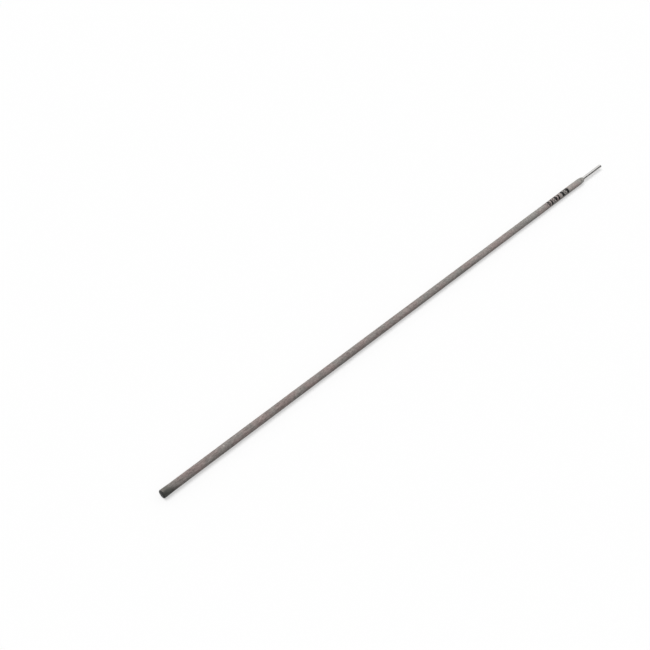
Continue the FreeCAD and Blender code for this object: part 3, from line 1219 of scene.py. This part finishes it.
@dataclass
class FluxCoat(Skin):
    """The extruded coat: rounded at the striking end, and brushed down to a blunt nose at the grip.

    Attributes:
        wire: radius of the bore, which the wire fills.
        shoulder: length of the brushed run-out.
        nose: radius of the blunt nose that it ends in.
        lip: flat left between the nose and the wire.
        rim: radius of the rounded rim at the striking end.
        ring_step: distance between rings along the side.
        scoured: where the brush marks start and where they are full, from the full width's end.
        clear: where the relief starts and where it is full, from the striking face.
        edge: where the nose starts to wander and where it wanders freely, from the coat's end.
    """

    name: str = "extruded_flux_coat"
    node: Packed = Packed.FLUX_COATING
    slot: Slot = Slot.COAT
    relief: ReliefSizes = ReliefSizes(
        swell=0.022 * MM,
        line_depth=0.008 * MM,
        scour_depth=0.035 * MM,
        edge_drift=0.22 * MM,
        seed=50.0,
    )
    wire: float = 1.25 * MM
    shoulder: float = 4.5 * MM
    nose: float = 0.4 * MM
    lip: float = 0.1 * MM
    rim: float = 0.6 * MM
    ring_step: float = 0.36 * MM
    scoured: Point = (-2.5 * MM, 1.5 * MM)
    clear: Point = (5 * MM, 8 * MM)
    edge: Point = (-2.6 * MM, -0.6 * MM)

    def half_section(self) -> HalfSection:
        """Run from the lip over the shoulder, along the side and round the rim, and back along the bore."""
        low, high = self.node.extent()
        coat = high.z
        drop = coat - self.wire - self.lip
        run = self.shoulder - self.nose
        sweep = (run**2 + drop**2 - self.nose**2) / (2 * (drop - self.nose))
        meet = math.acos(run / (sweep - self.nose))
        full = high.x - self.shoulder
        quarter = math.pi / 2

        def open_side(x: float, distance: float) -> Ring:
            """A ring of the outside."""
            clear = rise_between(x, *from_end(low.x, self.clear))
            scoured = rise_between(x, *from_end(full, self.scoured))
            edge = rise_between(x, *from_end(high.x, self.edge))
            return Ring(x, distance, relief=clear, scour=scoured, drift=edge)

        def bore(x: float, distance: float) -> Ring:
            """A ring against the wire."""
            return Ring(x, distance, drift=1.0 if x > high.x - self.nose else 0.0)

        side = math.ceil((full - low.x - self.rim) / self.ring_step)
        lip = self.wire + self.lip
        section = HalfSection(high.x, self.wire, bore)
        section.line(high.x, lip, steps=1, finish=open_side)
        section.arc((high.x - self.nose, lip), self.nose, (0.0, meet), steps=6, finish=open_side)
        section.arc((full, coat - sweep), sweep, (meet, quarter), steps=34, finish=open_side)
        section.line(low.x + self.rim, coat, side, open_side)
        rim = (low.x + self.rim, coat - self.rim)
        section.arc(rim, self.rim, (quarter, math.pi), steps=6, finish=open_side)
        section.line(low.x, self.wire, steps=1, finish=bore).lane(0.95, folds=5)
        section.line(high.x, self.wire, steps=1, finish=bore).lane(0.05)
        return section


@dataclass
class GraphiteDip(Skin):
    """The dried graphite over the striking face and rim, which fades out along the side.

    Attributes:
        rim: radius of the coat's rim under it.
        edge: thickness where it stops.
        ragged: where its edge starts to wander and where it wanders freely, from where it stops.
        settled: distance from its edge at which its relief is full.
        smooth: radius on the face within which its relief dies away.
    """

    name: str = "dried_graphite_dip"
    node: Packed = Packed.GRAPHITE_TIP
    slot: Slot = Slot.GRAPHITE
    relief: ReliefSizes = ReliefSizes(
        swell=0.02 * MM,
        swell_length=1.6 * MM,
        scour_depth=0.012 * MM,
        scour_width=0.3 * MM,
        edge_drift=0.35 * MM,
        drift_width=1.2 * MM,
        seed=60.0,
    )
    rim: float = 0.6 * MM
    edge: float = 0.03 * MM
    ragged: Point = (-2.2 * MM, -0.2 * MM)
    settled: float = 1.5 * MM
    smooth: float = 0.4 * MM

    def half_section(self) -> HalfSection:
        """Run against the coat to the dip's edge, and back over its outside to the centre of the face."""
        low, high = self.node.extent()
        coat = self.girth
        face = Packed.FLUX_COATING.extent()[0].x
        thick = face - low.x
        centre = (face + self.rim, coat - self.rim)
        quarter = math.pi / 2

        def edge_share(x: float) -> float:
            """Share of the ragged edge's wander."""
            return rise_between(x, *from_end(high.x, self.ragged))

        def outside(x: float, distance: float) -> Ring:
            """A ring of the open surface."""
            share = rise_between(x, high.x, high.x - self.settled)
            share *= rise_between(distance, 0.0, self.smooth)
            return Ring(x, distance, relief=share, scour=share, drift=edge_share(x))

        def inside(x: float, distance: float) -> Ring:
            """A ring against the coat."""
            return Ring(x, distance, drift=edge_share(x))

        section = HalfSection(face, 0.0, inside)
        section.line(face, coat - self.rim, steps=1, finish=inside)
        section.arc(centre, self.rim, (math.pi, quarter), steps=6, finish=inside)
        section.line(high.x, coat, steps=8, finish=inside).lane(0.15)
        section.line(high.x, coat + self.edge, steps=1, finish=outside)
        section.line(centre[0], coat + thick, steps=34, finish=outside)
        section.arc(centre, self.rim + thick, (quarter, math.pi), steps=10, finish=outside)
        section.line(low.x, 0.0, steps=12, finish=outside).lane(0.85)
        return section


# Outlines of the marks, on a block that runs from -1 to 1 each way
PAD_REACH = 1.2
LOZENGE_REACH = 1.25
WEDGE_SLOPE = 1.2
WEDGE_START = 0.3

# Squares of a chequered mark, along the electrode and round the coat
CHEQUERS_ALONG = 3
CHEQUERS_UP = 5


class Mark(Enum):
    """Plain shapes of the print. A shape says which places of its block are inked."""

    PAD = "pad"
    LOZENGE = "lozenge"
    WEDGE = "wedge"
    CHEQUER = "chequer"
    GAP = "gap"

    def inked(self, across: float, up: float) -> bool:
        """Say whether a place on the block is inked.

        Args:
            across: the place along the electrode, from -1 to 1.
            up: the place round the coat, from -1 to 1.

        Returns:
            Whether it is inked.
        """
        column = math.floor((across + 1) / 2 * CHEQUERS_ALONG)
        row = math.floor((up + 1) / 2 * CHEQUERS_UP)
        rules = {
            Mark.PAD: abs(across) ** 4 + abs(up) ** 4 < PAD_REACH,
            Mark.LOZENGE: abs(across) + abs(up) < LOZENGE_REACH,
            Mark.WEDGE: up < WEDGE_SLOPE * across + WEDGE_START,
            Mark.CHEQUER: (column + row) % 2 == 0,
            Mark.GAP: False,
        }
        return rules[self]


def print_tree(relief: NodeBoard) -> NodeBoard:
    """Build the tree that prints cells of ink round the coat.

    Each point of the start is a cell: its X is the place along the electrode, and its Y the distance
    round the coat from the middle of the print.

    Args:
        relief: the group that gives the coat's relief.

    Returns:
        A board on the tree.
    """
    numbers = ["Cell Length", "Cell Height", "Ragged", "Notch", "Faint From", "Faint To", "Most Faint"]
    numbers += ["Middle Angle", "Girth", "Sink", "Thickness", "Print Start", "Print Length", "Print Height"]
    takes = {"Cells": Socket.SHAPE, "Cell Points": Socket.COUNT, "Rounding": Socket.COUNT}
    takes |= {label: Socket.NUMBER for label in numbers} | RELIEF_INPUTS | ENDING_INPUTS
    board = NodeBoard.new("printed_marks", "GeometryNodeTree", takes, {"Marks": Socket.SHAPE})
    spot = board.place("GeometryNodeInputPosition").outputs[0]
    along, across, _ = board.parts(spot)

    fade = 1.0 - board.step(along, board.given("Faint From"), board.given("Faint To"))
    chance = board.place("FunctionNodeRandomValue", {"Seed": MISSED_SEED}, data_type="FLOAT")
    missed = board.math("LESS_THAN", board.flow(chance, 1), fade * board.given("Most Faint"))
    feeds = {"Geometry": board.given("Cells"), "Selection": missed}
    kept = board.place("GeometryNodeDeleteGeometry", feeds)

    feeds = {"Size X": board.given("Cell Length"), "Size Y": board.given("Cell Height")}
    feeds |= {"Vertices X": board.given("Cell Points"), "Vertices Y": board.given("Cell Points")}
    cell = board.place("GeometryNodeMeshGrid", feeds)
    feeds = {"Points": kept.outputs[0], "Instance": cell.outputs["Mesh"]}
    cells = board.place("GeometryNodeInstanceOnPoints", feeds)
    flat = board.place("GeometryNodeRealizeInstances", {"Geometry": cells.outputs[0]})
    feeds = {"Geometry": flat.outputs[0], "Distance": board.given("Weld")}
    joined = board.place("GeometryNodeMergeByDistance", feeds)

    faces = board.place("GeometryNodeInputMeshEdgeNeighbors").outputs["Face Count"]
    feeds = {"Mesh": joined.outputs[0], "Selection": board.math("LESS_THAN", faces, 2)}
    parted = board.place("GeometryNodeSplitEdges", feeds)
    feeds = {"Value": spot, "Iterations": board.given("Rounding")}
    smoothed = board.place("GeometryNodeBlurAttribute", feeds, data_type="FLOAT_VECTOR")
    feeds = {"Geometry": parted.outputs[0], "Position": smoothed.outputs[0]}
    rounded = board.place("GeometryNodeSetPosition", feeds)

    notch = board.given("Notch")
    notches = board.stretched(spot, notch, notch)
    first = board.noise(notches, 1.0, board.given("Seed") + 8.0) * board.given("Ragged")
    second = board.noise(notches, 1.0, board.given("Seed") + 9.0) * board.given("Ragged")
    feeds = {"Geometry": rounded.outputs[0], "Offset": board.vector(first, second, 0.0)}
    wandered = board.place("GeometryNodeSetPosition", feeds)

    u = (along - board.given("Print Start")) / board.given("Print Length")
    v = across / board.given("Print Height") + 0.5
    mapped = mapped_shape(board, wandered.outputs[0], u, v)

    girth = board.given("Girth")
    angle = board.given("Middle Angle") - across / girth
    reach = girth + relief_rise(board, relief, along, angle) - board.given("Sink")
    feeds = {"Geometry": mapped.outputs[0], "Position": board.around(along, reach, angle)}
    wrapped = board.place("GeometryNodeSetPosition", feeds)

    feeds = {"Mesh": wrapped.outputs[0], "Offset Scale": board.given("Thickness"), "Individual": False}
    raised = board.place("GeometryNodeExtrudeMesh", feeds)
    base = board.place("GeometryNodeFlipFaces", {"Mesh": wrapped.outputs[0]})
    closed = board.place("GeometryNodeJoinGeometry")
    board.tree.links.new(raised.outputs["Mesh"], closed.inputs[0])
    board.tree.links.new(base.outputs["Mesh"], closed.inputs[0])
    finish_tree(board, closed, "Marks")
    return board


@dataclass
class InkMarks:
    """The row of ink marks behind the shoulder, as two groups of plain shapes.

    Attributes:
        coat: the coat that they are printed on.
        tree: the tree that prints them.
        material: the ink.
        start: where the row starts, from the grip end.
        length: length of the row.
        height: height of a mark, round the coat.
        name: name of the piece.
        columns: cells along a mark.
        rows: cells up a mark.
        spacing: empty cells between two marks.
        cell_points: points along each side of a cell.
        rounding: how many times the marks' outlines are smoothed.
        ragged: how far their outlines wander.
        notch: width of one notch of them.
        faint_before: how far before the row's start it would be faintest.
        faint_share: share of the row over which it grows to full.
        most_faint: share of the cells that are missing where it is faintest.
        middle: angle of the row's middle line round the axis, from +Y.
        thickness: thickness of the ink.
        sink: how deep its underside lies in the coat.
        row: the marks, in order from the striking end's side.
    """

    coat: FluxCoat
    tree: NodeBoard
    material: bpy.types.Material
    name: str = "ink_marks"
    start: float = -62.3 * MM
    length: float = 24.4 * MM
    height: float = 4.5 * MM
    columns: int = 10
    rows: int = 15
    spacing: int = 1
    cell_points: int = 3
    rounding: int = 2
    ragged: float = 0.05 * MM
    notch: float = 0.45 * MM
    faint_before: float = 2 * MM
    faint_share: float = 0.22
    most_faint: float = 0.6
    middle: float = math.radians(108)
    thickness: float = 0.035 * MM
    sink: float = 0.018 * MM
    row: tuple[Mark, ...] = (
        *(Mark.CHEQUER, Mark.LOZENGE, Mark.WEDGE) * 2,
        Mark.GAP,
        Mark.PAD,
        Mark.CHEQUER,
        Mark.PAD,
    )

    def cells(self) -> list[tuple[float, float, float]]:
        """Return the place of each inked cell, along the electrode and round the coat."""
        pitch = self.length / len(self.row)
        long, high = self.cell_size()
        middle = (self.rows - 1) / 2
        return [
            (self.start + number * pitch + (column + 0.5) * long, (row - middle) * high, 0.0)
            for number, mark in enumerate(self.row)
            for column in range(self.columns)
            for row in range(self.rows)
            if mark.inked((2 * column + 1) / self.columns - 1, (2 * row + 1) / self.rows - 1)
        ]

    def cell_size(self) -> Point:
        """Return a cell's length and height."""
        return self.length / len(self.row) / (self.columns + self.spacing), self.height / self.rows

    def build(self) -> bpy.types.Object:
        """Print the cells on the coat's own relief."""
        start = bpy.data.meshes.new(self.name + "_cells")
        start.from_pydata(self.cells(), [], [])
        long, high = self.cell_size()
        values = {
            "Cell Points": self.cell_points,
            "Cell Length": long,
            "Cell Height": high,
            "Rounding": self.rounding,
            "Ragged": self.ragged,
            "Notch": self.notch,
            "Faint From": self.start - self.faint_before,
            "Faint To": self.start + self.length * self.faint_share,
            "Most Faint": self.most_faint,
            "Middle Angle": self.middle,
            "Girth": self.coat.girth,
            "Sink": self.sink,
            "Thickness": self.thickness,
            "Print Start": self.start - long,
            "Print Length": self.length + 2 * long,
            "Print Height": self.height + 2 * high,
            "Sharp Angle": self.coat.sharp_angle,
            "Weld": self.coat.weld,
            "Material": self.material,
        }
        piece = run_tree(self.name, start, self.tree, values | self.coat.relief.as_inputs())
        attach(piece, BODY)
        return piece


@dataclass(frozen=True)
class SoftKey:
    """A large soft light, far enough off that it lights the whole floor alike.

    Attributes:
        name: its name.
        share: share of a white surface's full brightness that it gives a surface facing it.
        spread: angle that it covers, in degrees.
        azimuth: where it stands, in degrees from +Y towards +X.
        elevation: how high it stands, in degrees.
    """

    name: str
    share: float
    spread: float
    azimuth: float
    elevation: float

    def build(self) -> None:
        """Set the light up."""
        lamp = bpy.data.lights.new(self.name, "SUN")
        lamp.energy = self.share * math.pi
        lamp.angle = math.radians(self.spread)
        stand = bpy.data.objects.new(self.name, lamp)
        turn, rise = math.radians(self.azimuth), math.radians(self.elevation)
        level = math.cos(rise)
        away = Vector((level * math.sin(turn), level * math.cos(turn), math.sin(rise)))
        stand.location = away
        stand.rotation_euler = away.to_track_quat("Z", "Y").to_euler()
        bpy.context.scene.collection.objects.link(stand)


@dataclass(frozen=True)
class Viewpoint:
    """Where the photograph was taken from, found from the electrode's ends, widths and shoulder in it.

    Attributes:
        place: the camera's place.
        azimuth: direction that it looks in, in degrees from +Y towards +X.
        fall: how far it looks down, in degrees.
        roll: how far it is turned clockwise, as seen from behind it, in degrees.
        lens: focal length in millimetres on a frame 36 mm wide.
    """

    place: tuple[float, float, float] = (-0.4178, -0.1864, 0.2896)
    azimuth: float = 42.20
    fall: float = 45.58
    roll: float = 2.41
    lens: float = 42.26

    def build(self) -> None:
        """Set the camera up and make it the scene's own."""
        lens = bpy.data.cameras.new("photo_lens")
        lens.lens = self.lens
        lens.clip_start = 0.01
        camera = bpy.data.objects.new("photo_camera", lens)
        camera.location = self.place
        upright = Euler((math.radians(90 - self.fall), 0.0, math.radians(-self.azimuth))).to_matrix()
        roll = Euler((0.0, 0.0, math.radians(-self.roll))).to_matrix()
        camera.rotation_euler = (upright @ roll).to_euler()
        bpy.context.scene.collection.objects.link(camera)
        bpy.context.scene.camera = camera


@dataclass
class Studio:
    """A white floor, a soft light and a white surround.

    Attributes:
        ambient: share of a white surface's full brightness that comes from all round.
        dim: brightness of the surround as metal mirrors it, low down on the camera's side.
        mirrored_up: how much brighter it gets with height.
        mirrored_back: how much brighter it gets away from the camera's side.
        mirrored_full: where, on those two together, it is full.
        floor_lift: share of the floor's brightness, as seen directly, that shadow can't take.
        white: colour of the floor and the surround as seen directly.
        floor_bounce: colour of the floor as it lights the object.
        half_floor: half the floor's side.
        keys: the soft lights.
    """

    ambient: float = 0.38
    dim: float = 0.03
    mirrored_up: float = 0.8
    mirrored_back: float = 0.75
    mirrored_full: float = 0.5
    floor_lift: float = 0.5
    white: Colour = (1.0, 1.0, 1.0)
    floor_bounce: Colour = (0.50, 0.50, 0.50)
    half_floor: float = 4.0
    keys: tuple[SoftKey, ...] = (
        SoftKey("top_softbox", share=0.64, spread=40.0, azimuth=-38.0, elevation=73.0),
    )

    def build(self) -> None:
        """Build the floor under the object, the surround and the key."""
        self._floor(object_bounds()[0].z)
        self._surround()
        for key in self.keys:
            key.build()

    @staticmethod
    def _seen(board: NodeBoard) -> Flow:
        """Return 1 for rays that show the surround itself: from the camera, or mirrored or passed on."""
        path = board.place("ShaderNodeLightPath")
        seen = board.math("MAXIMUM", board.flow(path, "Is Camera Ray"), board.flow(path, "Is Glossy Ray"))
        return board.math("MAXIMUM", seen, board.flow(path, "Is Transmission Ray"))

    def _floor(self, height: float) -> None:
        """Lay the floor at a height: white, and lifted where it is seen so that its shadows stay pale."""
        half = self.half_floor
        mesh = bpy.data.meshes.new("studio_floor")
        corners = [(-half, -half), (half, -half), (half, half), (-half, half)]
        mesh.from_pydata([(*corner, height) for corner in corners], [], [(0, 1, 2, 3)])
        floor = bpy.data.objects.new("studio_floor", mesh)
        bpy.context.scene.collection.objects.link(floor)
        material = bpy.data.materials.new("white_sheet")
        material.use_nodes = True
        board = NodeBoard(material.node_tree)
        board.tree.nodes.clear()
        colour = board.blend(self._seen(board), self.floor_bounce, self.white)
        sheet = board.place("ShaderNodeBsdfDiffuse", {"Color": colour})
        glow = board.place("ShaderNodeEmission", {"Color": opaque(self.white), "Strength": 1.0})
        lifted = board.place("ShaderNodeMixShader", {0: self._seen(board) * self.floor_lift})
        board.tree.links.new(sheet.outputs[0], lifted.inputs[1])
        board.tree.links.new(glow.outputs[0], lifted.inputs[2])
        board.place("ShaderNodeOutputMaterial", {"Surface": lifted.outputs[0]})
        mesh.materials.append(material)
        floor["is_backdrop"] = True

    def _surround(self) -> None:
        """Light from all round, and show as plain white."""
        world = bpy.data.worlds.new("white_surround")
        world.use_nodes = True
        bpy.context.scene.world = world
        board = NodeBoard(world.node_tree)
        board.tree.nodes.clear()
        path = board.place("ShaderNodeLightPath")
        _, back, up = board.parts(board.place("ShaderNodeTexCoord").outputs["Generated"])
        side = up * self.mirrored_up + back * self.mirrored_back
        level = board.step(side, 0.0, self.mirrored_full) * (1.0 - self.dim) + self.dim
        mirrored = board.flow(path, "Is Glossy Ray") * (level - self.ambient)
        camera, passed = board.flow(path, "Is Camera Ray"), board.flow(path, "Is Transmission Ray")
        shown = board.math("MAXIMUM", camera, passed)
        strength = self.ambient + mirrored + shown * (1.0 - self.ambient)
        feeds = {"Color": opaque(self.white), "Strength": strength}
        light = board.place("ShaderNodeBackground", feeds)
        board.place("ShaderNodeOutputWorld", {"Surface": light.outputs[0]})


def report(piece: bpy.types.Object) -> None:
    """Log a finished piece and its number of faces."""
    log.info("%s: %d faces", piece.name, len(piece.data.polygons))


def write_sizes() -> None:
    boxes = {"cad": cad_box, "visual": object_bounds()}
    {name: [list(corner) for corner in box] for name, box in boxes.items()}


def main() -> None:
    """Build and dress the electrode's pieces in order, and set up the studio."""
    logging.basicConfig(level=logging.INFO, format="%(name)s: %(message)s")
    bpy.context.scene.view_settings.view_transform = "Standard"
    girth = Packed.FLUX_COATING.extent()[1].z
    relief = relief_group()
    skins = turned_skin_tree(relief)
    effects = Effects()
    coat = FluxCoat(skins, FluxFinish().material(effects), girth)
    report(CoreWire(skins, WireFinish().material(effects), girth).build())
    report(coat.build())
    report(GraphiteDip(skins, GraphiteFinish().material(effects), girth).build())
    report(InkMarks(coat, print_tree(relief), InkFinish().material(effects)).build())
    Studio().build()
    Viewpoint().build()
    write_sizes()


if __name__ == "__main__":
    main()
